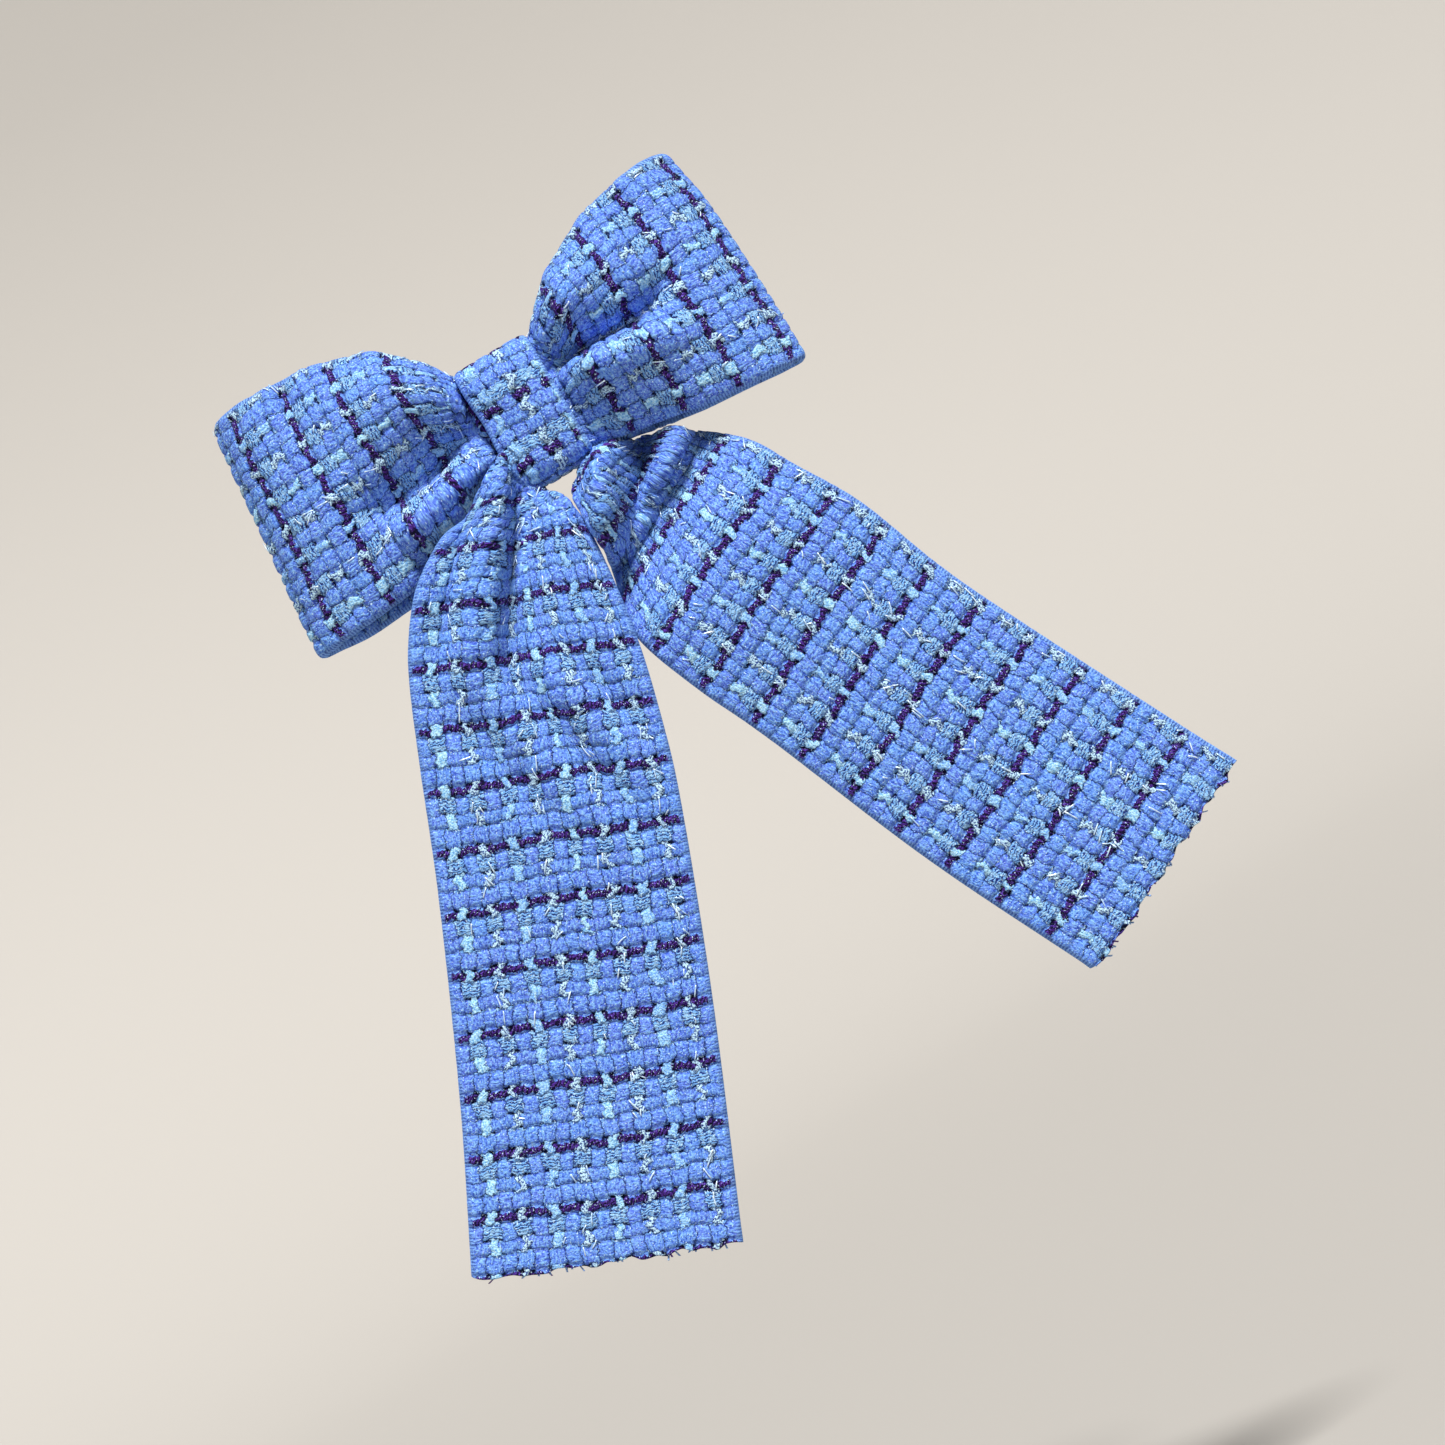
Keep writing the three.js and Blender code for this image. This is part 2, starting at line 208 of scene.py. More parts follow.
# The wefts of one repeat: start, middle, half width, height,
# and 1 if it is over the chenille warp or -1 if it is under it.
WEFTS = (
    (0.0, 1.3, 0.88, 0.42, 1),  # plum
    (2.35, 4.55, 2.04, 0.32, -1),  # bundle of filaments
    (6.7, 8.5, 1.64, 0.42, 1),  # chenille
    (10.35, 10.55, 0.2, 0.26, -1),  # thin binder
    (10.75, 12.8, 2.08, 0.42, -1),  # chenille
)


def of_weft(begun, place):
    """A value from WEFTS, for the weft that has begun last.
    begun: 1 or 0 for each weft after the first."""
    found = WEFTS[0][place]
    for started, before, weft in zip(begun, WEFTS, WEFTS[1:]):
        found = started * (weft[place] - before[place]) + found
    return found


def weave(s, t, face):
    """The tweed at s along the warp and t across it.
    face: 1 as seen from its right side, -1 from its back."""
    # no yarn runs quite straight
    u = t + 0.3 * sin(s * 0.42 + t * 0.11) + 0.22 * sin(s * 1.13 - t * 0.3)
    w = s + 0.3 * sin(t * 0.14 + s * 0.031) + 0.25 * sin(t * 0.61 + s * 0.17)
    w = w + 0.14 * sin(t * 1.9 + s * 0.4)
    column = floor(u / WARP_PITCH)
    row = floor(w / WEFT_PITCH)
    u = u - column * WARP_PITCH
    w = w - row * WEFT_PITCH

    begun = [above(w, weft[0]) for weft in WEFTS[1:]]
    past_plum, past_bundle, past_chenille, past_binder = begun
    middle, half, height, side = (of_weft(begun, place) for place in range(1, 5))
    side = side * face
    over = limit(cos((w - CROSSING) * (4 * math.pi / WEFT_PITCH)) * CRISP) * face
    at_warp = limit(cos((u - WARP_AT) * (2 * math.pi / WARP_PITCH)) * CRISP)

    fullness = 0.84 + 0.2 * chance(column, row, 0.3)
    warp_profile = plump((u - WARP_AT) / (WARP_HALF * fullness))
    warp = 0.42 * warp_profile - 0.36 * over

    # the accent yarns are uneven, and every second one is crinkled: thinner, and it wanders more
    kind = column - ACCENT_KINDS * floor(column / ACCENT_KINDS)
    crinkled = above(kind, 0.5) - above(kind, 1.5) + above(kind, 2.5)
    sway = sin(s * 2.1 + column * 2.3 + sin(s * 0.7)) * (0.3 + 0.26 * crinkled)
    slub = chance(column, row, 5.1) * (1 - 0.6 * crinkled)
    half_accent = 0.95 + 0.65 * slub + 0.2 * sin(s * 0.83 + column * 4.1)
    accent_profile = plump((u - ACCENT_AT - sway) / half_accent)
    accent = 0.36 * accent_profile + 0.33 * over

    weft_profile = plump((w - middle) / half)
    in_bundle = past_plum * (1 - past_bundle)
    strands = cos((w - middle) * (2 * math.pi / STRAND_PITCH)) * in_bundle
    weft = height * weft_profile + 0.33 * side * at_warp + 0.04 * strands

    top = highest(highest(warp, accent), highest(weft, -0.5))
    second = highest(lowest(warp, accent), lowest(highest(warp, accent), weft))
    is_warp = above(warp - top, -1e-4)
    is_accent = above(accent - top, -1e-4)
    is_weft = above(weft - top, -1e-4)
    return {
        "height": top,
        "clear": top - second,
        "is_warp": is_warp,
        "is_accent": is_accent,
        "is_plum": is_weft * (1 - past_plum),
        "is_strand": is_weft * (in_bundle + past_chenille * (1 - past_binder)),
        "body": is_warp * warp_profile + is_accent * accent_profile + is_weft * weft_profile,
        "strands": strands,
        "kind": kind,
        "tone": chance(column * is_warp, row * 2 + past_bundle + past_binder * 2 * (1 - is_warp), 1.7),
        "along": w,
        "across": u,
    }


# ---- sheets of cloth, as grids of points: down the strip, then across it ----
def unit(vectors):
    """The same directions, each of length 1."""
    return vectors / np.maximum(np.linalg.norm(vectors, axis=-1, keepdims=True), 1e-9)


def ease(x):
    """From 0 at x = 0 to 1 at x = 1, starting and ending softly."""
    x = np.clip(x, 0, 1)
    return x * x * (3 - 2 * x)


def sheet_normals(points, ring):
    """Which way each point of a sheet faces. A ring's last row lies on its first."""
    if ring:
        along = np.gradient(np.concatenate([points[-2:-1], points, points[1:2]]), axis=0)[1:-1]
    else:
        along = np.gradient(points, axis=0)
    return unit(np.cross(along, np.gradient(points, axis=1)))


def finer(grid, times, axis):
    """The same grid with times as many steps along one axis, on a smooth curve through the points."""
    p = np.moveaxis(grid, axis, 0)
    p = np.concatenate([2 * p[:1] - p[1:2], p, 2 * p[-1:] - p[-2:-1]])
    a, b, c, d = p[:-3], p[1:-2], p[2:-1], p[3:]
    parts = []
    for step in range(times):
        x = step / times
        parts.append(0.5 * (2 * b + (c - a) * x + (2 * a - 5 * b + 4 * c - d) * x**2
                            + (3 * b - a - 3 * c + d) * x**3))
    fine = np.stack(parts, axis=1).reshape(-1, *p.shape[1:])
    return np.moveaxis(np.concatenate([fine, p[-2:-1]]), 0, axis)


def run_along(line):
    """How far along a line each of its points is."""
    return np.concatenate([[0], np.cumsum(np.linalg.norm(np.diff(line, axis=0), axis=1))])


def curve_through(points, count):
    """A smooth curve through a few points, as count points evenly spaced along it."""
    fine = finer(np.array(points, float), 40, 0)
    run = run_along(fine)
    want = np.linspace(0, run[-1], count)
    return np.stack([np.interp(want, run, part) for part in fine.T], axis=1)


def beside(x, z, path):
    """How far points in the front view are from a path: positive on its left when one walks along it."""
    line = curve_through(path, 48)
    ahead = unit(np.gradient(line, axis=0))
    gap = np.stack([x, z], axis=-1)[..., None, :] - line
    near = (gap**2).sum(-1).argmin(-1)
    gap = np.take_along_axis(gap, near[..., None, None], -2)[..., 0, :]
    distance = np.sqrt((gap**2).sum(-1))
    return distance * np.sign(ahead[near, 0] * gap[..., 1] - ahead[near, 1] * gap[..., 0])


def folds_at(x, z, folds):
    """How far forward the folds push the cloth.
    Each fold: its height, its reach to its left and to its right, and its path in x and z."""
    push = np.zeros_like(x)
    for height, on_left, on_right, path in folds:
        aside = beside(x, z, path)
        push += height * np.exp(-((aside / np.where(aside > 0, on_left, on_right)) ** 2))
    return push


def relax(goal, down, across, hold, rounds, bend):
    """Lets a sheet settle near its goal: neighbours keep their distance, folds resist being sharp by
    bend, and each point is drawn to its goal by its share in hold.

    down and across: the distances to keep. down may differ across the sheet, and bend along it.
    """
    rows, columns = goal.shape[:2]
    down = np.broadcast_to(down, (columns,))
    bend = np.broadcast_to(bend, (rows,))[:, None, None]
    # each rule: steps down and across to a neighbour, the distance to it, and how firmly it is kept
    rules = [
        (1, 0, down, 1.0),
        (0, 1, across, 1.0),
        (1, 1, np.hypot(down[:-1], across), 0.3),
        (1, -1, np.hypot(down[:-1], across), 0.3),
    ]
    p = goal.copy()
    for _ in range(rounds):
        move = np.zeros_like(p)
        for dr, dc, rest, stiff in rules:
            near = (slice(0, rows - dr), slice(max(0, -dc), columns - max(0, dc)))
            far = (slice(dr, rows), slice(max(0, dc), columns + min(0, dc)))
            gap = p[far] - p[near]
            length = np.sqrt((gap**2).sum(-1)) + 1e-9
            shift = gap * (0.5 * stiff * (1 - rest / length))[..., None]
            move[near] += shift
            move[far] -= shift
        p += 0.45 * move
        p[2:-2] -= bend[2:-2] * (p[:-4] - 4 * p[1:-3] + 6 * p[2:-2] - 4 * p[3:-1] + p[4:])
        p[:, 2:-2] -= bend * (p[:, :-4] - 4 * p[:, 1:-3] + 6 * p[:, 2:-2] - 4 * p[:, 3:-1] + p[:, 4:])
        p += hold[..., None] * (goal - p)
    return p


def quads(a, b, c, d):
    """Four-cornered faces, from arrays of their first, second, third and fourth corners."""
    return np.stack([a, b, c, d], axis=-1).reshape(-1, 4)


def add_object(name, data):
    obj = bpy.data.objects.new(name, data)
    bpy.context.scene.collection.objects.link(obj)
    return obj


def mesh_from(name, points, faces, material):
    """An object with a smooth-shaded mesh. faces: an array with a row of corners for each face."""
    mesh = bpy.data.meshes.new(name)
    mesh.vertices.add(len(points))
    mesh.vertices.foreach_set("co", np.ascontiguousarray(points, np.float32).ravel())
    count, corners = faces.shape
    mesh.loops.add(count * corners)
    mesh.loops.foreach_set("vertex_index", np.ascontiguousarray(faces, np.int32).ravel())
    mesh.polygons.add(count)
    mesh.polygons.foreach_set("loop_start", np.arange(0, count * corners, corners, dtype=np.int32))
    mesh.update(calc_edges=True)
    mesh.polygons.foreach_set("use_smooth", np.full(count, True))
    mesh.validate()
    mesh.materials.append(material)
    return add_object(name, mesh)


def add_attribute(obj, name, kind, key, values):
    """Gives each vertex a value that the material can read."""
    attribute = obj.data.attributes.new(name, kind, "POINT")
    attribute.data.foreach_set(key, np.concatenate(values).astype(np.float32).ravel())


FILM_DENSITY = 0.011  # snips of film on each square millimetre
FILM_STRAY = 0.04  # the chance that a place off the silver yarns may bear one
ACCENT_FROM = 4.6  # where the accent yarn's half of the warp pitch begins
FRAYS = (("plum", 7), ("blue", 18))  # colour and number of loose threads at a cut end


def tweed_mesh(name, middle, s, t, width, ring=False):
    """Gives a middle surface its thickness and the relief of the weave on both faces, as one closed mesh,
    and makes what is on it. The face on the side of (along x across) is the right side."""
    normals = sheet_normals(middle, ring)
    margin = np.linspace(0, width, middle.shape[1])[None, :] + 0 * t
    margin = np.minimum(margin, width - margin)
    rounding = np.sqrt(1 - (1 - np.clip(margin / EDGE_ROUND, 0, 1)) ** 2)
    kept_relief = HEM_RELIEF + (1 - HEM_RELIEF) * ease(margin / HEM)
    skins, places, edges = [], [], []
    for face in (1, -1):
        relief = weave(s, t, face)["height"]
        lift = GROUND * rounding + RELIEF * relief * kept_relief
        skins.append(middle + face * normals * lift[..., None])
        places.append(np.stack([s, t, np.full_like(s, face)], axis=-1))
        edges.append(1 - np.clip(margin / HEM, 0, 1))
    if ring:
        skins, places, edges = ([part[:-1] for part in group] for group in (skins, places, edges))
    rows, columns = skins[0].shape[:2]
    index = np.arange(rows * columns).reshape(rows, columns)
    if ring:
        index = np.concatenate([index, index[:1]])
    back = index + rows * columns
    faces = [
        quads(index[:-1, :-1], index[1:, :-1], index[1:, 1:], index[:-1, 1:]),
        quads(back[:-1, :-1], back[:-1, 1:], back[1:, 1:], back[1:, :-1]),
        quads(index[:-1, 0], back[:-1, 0], back[1:, 0], index[1:, 0]),
        quads(index[:-1, -1], index[1:, -1], back[1:, -1], back[:-1, -1]),
    ]
    if not ring:
        faces.append(quads(index[0, :-1], index[0, 1:], back[0, 1:], back[0, :-1]))
        faces.append(quads(index[-1, :-1], back[-1, :-1], back[-1, 1:], index[-1, 1:]))
    points = np.concatenate([skin.reshape(-1, 3) for skin in skins]) * MM
    cloth = mesh_from(name, points, np.concatenate(faces), TWEED)
    add_attribute(cloth, "cloth_mm", "FLOAT_VECTOR", "vector", places)
    add_attribute(cloth, "rim", "FLOAT", "value", edges)

    seed = len(name)
    snips = int(FILM_DENSITY * width * rows * CELL)
    extras = [slivers(name + "_slivers", skins[0], normals[:rows], s[:rows], t[:rows], snips, seed)]
    if not ring:
        outward = unit(skins[0][-1] - skins[0][-4])
        for colour, count in FRAYS:
            extras.append(frayed_threads(f"{name}_fray_{colour}", middle[-1], outward, normals[-1], count,
                                         seed + count, THREADS[colour]))
    return cloth, extras


def ribbons(name, paths, sides, half_width, half_thickness, material):
    """Thin closed strips, one along each path.
    paths: (count, points, 3). sides: (count, 3), the way in which each one is wide."""
    count, steps = paths.shape[:2]
    along = unit(np.gradient(paths, axis=1))
    wide = np.broadcast_to(sides[:, None], along.shape) * half_width
    thick = unit(np.cross(along, wide)) * half_thickness
    corners = [paths + wide + thick, paths - wide + thick, paths - wide - thick, paths + wide - thick]
    points = np.stack(corners, axis=2).reshape(-1, 3) * MM
    index = np.arange(count * steps * 4).reshape(count, steps, 4)
    onward = np.roll(index, -1, axis=2)
    walls = quads(index[:, :-1], onward[:, :-1], onward[:, 1:], index[:, 1:])
    caps = np.concatenate([index[:, 0, ::-1], index[:, -1]])
    return mesh_from(name, points, np.concatenate([walls, caps]), material)


def slivers(name, skin, normals, s, t, count, seed):
    """Bright snips of metallic film standing out of the silver yarns, and a few elsewhere."""
    random = np.random.default_rng(seed)
    column = np.floor(t / WARP_PITCH)
    on_silver = (t - column * WARP_PITCH > ACCENT_FROM) & (column % 2 == 1)
    spot = on_silver | (random.random(t.shape) < FILM_STRAY)
    spot[:6] = spot[-6:] = False
    spot[:, :3] = spot[:, -3:] = False
    rows, columns = np.nonzero(spot)
    pick = random.choice(len(rows), count, replace=False)
    rows, columns = rows[pick], columns[pick]
    normal = normals[rows, columns]
    down = unit(skin[rows + 2, columns] - skin[rows - 2, columns])
    across = unit(np.cross(normal, down))
    turn = random.normal(0, 0.6, count)[:, None]
    heading = down * np.cos(turn) + across * np.sin(turn)
    side = unit(np.cross(normal, heading))
    reach = random.uniform(0.7, 1.9, count)[:, None, None]
    x = np.linspace(-1, 1, 5)[None, :, None]
    lift = 0.3 - 0.1 * x**2 + random.normal(0, 0.14, count)[:, None, None] * x
    sway = random.normal(0, 0.08, count)[:, None, None] * (1 - x**2)
    paths = skin[rows, columns][:, None] + heading[:, None] * x * reach
    paths = paths + normal[:, None] * lift + side[:, None] * sway
    return ribbons(name, paths, side, half_width=0.16, half_thickness=0.04, material=FILM)


def frayed_threads(name, ends, outward, normal, count, seed, material):
    """Loose threads at a cut end: from points picked along it, each bending its own way."""
    random = np.random.default_rng(seed)
    pick = np.sort(random.choice(np.arange(2, len(ends) - 2), count, replace=False))
    side = unit(np.cross(outward[pick], normal[pick]))
    x = np.linspace(0, 1, 6)[None, :, None]
    reach = random.uniform(0.8, 2.2, count)[:, None, None]
    lean = random.normal(0, 1.2, (count, 2))[:, :, None, None]
    buried = 0.8  # how far back inside the cloth a thread starts
    paths = ends[pick][:, None] + outward[pick][:, None] * (x * reach - buried)
    paths = paths + side[:, None] * lean[:, 0] * x * reach * 0.6
    paths = paths + normal[pick][:, None] * lean[:, 1] * x**2 * reach * 0.3
    return ribbons(name, paths, side, half_width=0.22, half_thickness=0.18, material=material)


# ---- materials ----
def new_material(name):
    material = bpy.data.materials.new(name)
    material.use_nodes = True
    tree = material.node_tree
    tree.nodes.clear()
    output = tree.nodes.new("ShaderNodeOutputMaterial")
    shader = tree.nodes.new("ShaderNodeBsdfPrincipled")
    tree.links.new(shader.outputs[0], output.inputs[0])
    return material, tree, shader


def set_shader(shader, values):
    """Puts a wire or a constant into each named socket of the shader."""
    for name, value in values.items():
        connect(value, shader.inputs[name])


def srgb(r, g, b):
    """A colour given as 0 to 255 values, as the linear colour that Blender uses."""
    def linear(v):
        v /= 255
        return v / 12.92 if v <= 0.04045 else ((v + 0.055) / 1.055) ** 2.4
    return (linear(r), linear(g), linear(b), 1)


def mix(share, a, b):
    """Colour a, with a share of colour b over it."""
    return add_node(share.tree, "ShaderNodeMix", {0: share, 6: a, 7: b}, 2, data_type="RGBA")


def remap(value, low, high, to_low=0.0, to_high=1.0):
    """Carries the range low to high over to another range, and holds its ends outside."""
    return add_node(value.tree, "ShaderNodeMapRange", {
        "Value": value, "From Min": low, "From Max": high, "To Min": to_low, "To Max": to_high})


def noise(place, scale, detail, stretch=None):
    """Clouds from 0 to 1, finer with a larger scale. stretch: how much finer they are along each axis."""
    if stretch:
        place = add_node(place.tree, "ShaderNodeVectorMath", {0: place, 1: stretch}, operation="MULTIPLY")
    return add_node(place.tree, "ShaderNodeTexNoise", {"Vector": place, "Scale": scale, "Detail": detail})


def split(vector):
    """The three parts of a vector, or of a colour."""
    first = add_node(vector.tree, "ShaderNodeSeparateXYZ", {0: vector})
    return [Wire(vector.tree, output) for output in first.socket.node.outputs]


def bump(height, strength, distance):
    return add_node(height.tree, "ShaderNodeBump", {
        "Height": height, "Strength": strength, "Distance": distance})


def object_place(tree):
    """Where a point is on its object, in metres."""
    return add_node(tree, "ShaderNodeTexCoord", {}, "Object")


def chenille_colour(place, yarn, pile, fibre, blotch):
    patch = noise(place, 0.16, 2)
    colour = mix(yarn["tone"], srgb(92, 123, 226), srgb(99, 148, 238))
    colour = mix(remap(patch, 0.44, 0.62, 0, 0.5), colour, srgb(108, 130, 234))
    colour = mix(remap(pile, 0.5, 0.64), colour, srgb(136, 187, 243))
    colour = mix(remap(pile, 0.46, 0.34), colour, srgb(50, 84, 192))
    colour = mix(remap(blotch, 0.58, 0.7, 0, 0.5), colour, srgb(79, 103, 214))
    colour = mix(remap(fibre, 0.54, 0.66, 0, 0.75), colour, srgb(139, 192, 245))
    return mix(remap(fibre, 0.44, 0.34, 0, 0.6), colour, srgb(42, 67, 165))


def strand_colour(yarn, blotch):
    """Filaments: painted shade between them, and painted highlights in places."""
    colour = mix(remap(yarn["strands"], -0.6, 0.3), srgb(29, 46, 122), srgb(119, 176, 240))
    return mix(remap(blotch, 0.48, 0.62, 0, 0.7), colour, srgb(161, 208, 247))


def plum_colour(ply, speck):
    colour = mix(remap(ply, -0.5, 1.0), srgb(12, 8, 42), srgb(72, 36, 132))
    return mix(remap(speck, 0.56, 0.66, 0, 0.8), colour, srgb(112, 86, 196))


def accent_colour(kind, fibre, crinkle):
    """The accent yarns: mint, silver, pale and silver again."""
    mint = mix(remap(fibre, 0.4, 0.58), srgb(112, 174, 232), srgb(184, 230, 254))
    # the silver yarn's light and dark crinkle is painted reflection of its metal film
    silver = mix(remap(crinkle, 0.42, 0.54), srgb(40, 66, 140), srgb(196, 234, 255))
    pale = mix(remap(fibre, 0.4, 0.6), srgb(106, 160, 236), srgb(168, 218, 254))
    colour = mix(above(kind, 0.5), mint, silver)
    colour = mix(above(kind, 1.5), colour, pale)
    return mix(above(kind, 2.5), colour, silver)


def with_painted_shade(colour, yarn):
    """Painted shade: darkens the sides of the yarns, where two of them meet, and the low places between
    them.
    """
    upright = 0.5 + 0.5 * (yarn["is_warp"] + yarn["is_accent"])
    colour = mix(remap(yarn["body"], 0.92, 0.4, 0, 0.96) * upright, colour, srgb(9, 24, 90))
    colour = mix(remap(yarn["clear"], 0.42, 0.08, 0, 0.72), colour, srgb(6, 17, 76))
    return mix(remap(yarn["height"], 0.06, -0.28, 0, 0.94), colour, srgb(4, 11, 48))


def with_hem(colour, s, fibre, rim):
    """The pressed edge of the cloth, ribbed by its warp ends."""
    ribs = sin(s * 7.5 + fibre * 6.0)
    hem = mix(remap(ribs, -0.6, 0.5), srgb(66, 97, 182), srgb(128, 172, 238))
    colour = mix(remap(rim, 0.3, 0.55, 0, 0.8), colour, hem)
    return mix(remap(rim, 0.8, 1.0, 0, 0.5), colour, srgb(116, 166, 238))


def tweed_material():
    """Tweed whose colours follow the yarns of the relief, each with its own pile, plies or specks."""
    material, tree, shader = new_material("tweed")
    place = add_node(tree, "ShaderNodeAttribute", {}, "Vector", attribute_name="cloth_mm")
    rim = add_node(tree, "ShaderNodeAttribute", {}, "Fac", attribute_name="rim")
    s, t, face = split(place)
    stray = add_node(tree, "ShaderNodeTexNoise", {"Vector": place, "Scale": 0.95, "Detail": 4.0}, "Color")
    stray_s, stray_t, _ = split(stray)
    yarn = weave(s + (stray_s - 0.5) * 2.0, t + (stray_t - 0.5) * 2.0, face)

    # the pile of chenille lies across its yarn
    pile = noise(place, 1.0, 4, (1.7, 0.8, 1)) * yarn["is_warp"]
    pile = pile + noise(place, 1.0, 4, (0.8, 1.7, 1)) * (1 - yarn["is_warp"])
    fibre = noise(place, 2.3, 3)
    blotch = noise(place, 0.8, 3)
    crinkle = noise(place, 2.0, 2)
    speck = noise(place, 2.6, 3)
    ply = sin(yarn["along"] * 3.2 + yarn["across"] * 5.6) + speck * 3.0 - 1.5

    colour = chenille_colour(place, yarn, pile, fibre, blotch)
    colour = mix(yarn["is_strand"], colour, strand_colour(yarn, blotch))
    colour = mix(yarn["is_accent"], colour, accent_colour(yarn["kind"], fibre, crinkle))
    colour = mix(yarn["is_plum"], colour, plum_colour(ply, speck))
    # painted shade on the yarns' sides, where they meet and in the low places between them
    colour = with_painted_shade(colour, yarn)
    glint = noise(place, 2.1, 1) + (yarn["is_strand"] + yarn["is_accent"]) * 0.035
    colour = mix(remap(glint, 0.665, 0.69, 0, 0.85), colour, srgb(204, 234, 255))
    colour = with_hem(colour, s, fibre, rim)

    relief = yarn["height"] * 0.5 + yarn["strands"] * yarn["is_strand"] * 0.12
    relief = relief + pile * 0.9 + fibre * 0.6 + ply * yarn["is_plum"] * 0.15
    relief = relief + crinkle * yarn["is_accent"] * 0.8
    set_shader(shader, {
        "Base Color": colour,
        "Roughness": 0.85,
        "Sheen Weight": 0.12,
        "Sheen Roughness": 0.4,
        "Sheen Tint": srgb(146, 194, 255),
        "Specular IOR Level": 0.12,
        "Normal": bump(relief, 0.7, 0.0008),
    })
    return material


def film_material():
    """Thin metallic film, seen as snips of lurex."""
    material, tree, shader = new_material("silver_film")
    grain = noise(object_place(tree), 900, 2)
    set_shader(shader, {
        "Base Color": mix(remap(grain, 0.35, 0.65), srgb(176, 214, 255), srgb(226, 244, 255)),
        "Roughness": remap(grain, 0.3, 0.7, 0.12, 0.4),
        "Metallic": 0.25,
    })
    return material


def thread_material(name, dark, light):
    """Spun or twisted thread: fine slanting plies over a soft, slightly uneven colour."""
    material, tree, shader = new_material(name)
    where = object_place(tree)
    plies = add_node(tree, "ShaderNodeTexWave", {"Vector": where, "Scale": 900, "Distortion": 1.5}, "Fac",
                     bands_direction="DIAGONAL")
    lint = noise(where, 2600, 3)
    set_shader(shader, {
        "Base Color": mix(remap(plies * 0.6 + lint, 0.3, 1.0), dark, light),
        "Roughness": 0.65,
        "Sheen Weight": 0.3,
        "Normal": bump(plies + lint, 0.5, 0.0001),
    })
    return material


def felt_material():
    """Pressed felt: cloudy, with paler fibres lying on it."""
    material, tree, shader = new_material("felt")
    where = object_place(tree)
    cloud = noise(where, 260, 4)
    fibre = noise(where, 1500, 4, (1, 2.6, 1))
    colour = mix(remap(cloud, 0.35, 0.65), srgb(58, 70, 134), srgb(82, 98, 170))
    set_shader(shader, {
        "Base Color": mix(remap(fibre, 0.52, 0.7, 0, 0.7), colour, srgb(134, 154, 216)),
        "Roughness": 0.95,
        "Sheen Weight": 0.5,
        "Sheen Roughness": 0.6,
        "Normal": bump(fibre + cloud, 0.7, 0.0003),
    })
    return material


def steel_material():
    """Nickel-plated spring steel: bright, with rolling lines, handling smears and small dull spots."""
    material, tree, shader = new_material("steel")
    where = object_place(tree)
    rolled = noise(where, 300, 4, (0.12, 6, 6))
    smear = noise(where, 90, 3)
    spots = noise(where, 700, 2)
    colour = mix(remap(smear, 0.35, 0.65), srgb(196, 196, 198), srgb(222, 221, 217))
    set_shader(shader, {
        "Base Color": mix(remap(spots, 0.66, 0.74, 0, 0.5), colour, srgb(150, 146, 140)),
        "Roughness": remap(rolled, 0.3, 0.7, 0.12, 0.26) + remap(smear, 0.45, 0.7, 0, 0.16),
        "Metallic": 1.0,
        "Normal": bump(rolled, 0.12, 0.00005),
    })
    return material


TWEED = tweed_material()
FILM = film_material()
THREADS = {
    "plum": thread_material("plum_thread", srgb(40, 16, 62), srgb(112, 62, 156)),
    "blue": thread_material("blue_thread", srgb(70, 96, 186), srgb(160, 200, 248)),
}
STEEL = steel_material()
FELT = felt_material()


# ---- the ring of tweed that makes both wings ----
KNOT_EDGE = 9  # how far from the middle a wing comes out of the knot
FRONT_Y = -19.6  # the front layer at the knot
REAR_Y = -15.4  # the back layer at the knot
RIGHT_START = 612.4  # where along the warp the outer fold is, so that the plum wefts lie as they should
LEFT_START = 607.9


def along_curve(x, points):
    """Where a smooth curve through a few points is at x."""
    return np.interp(x, *curve_through(points, 160).T)


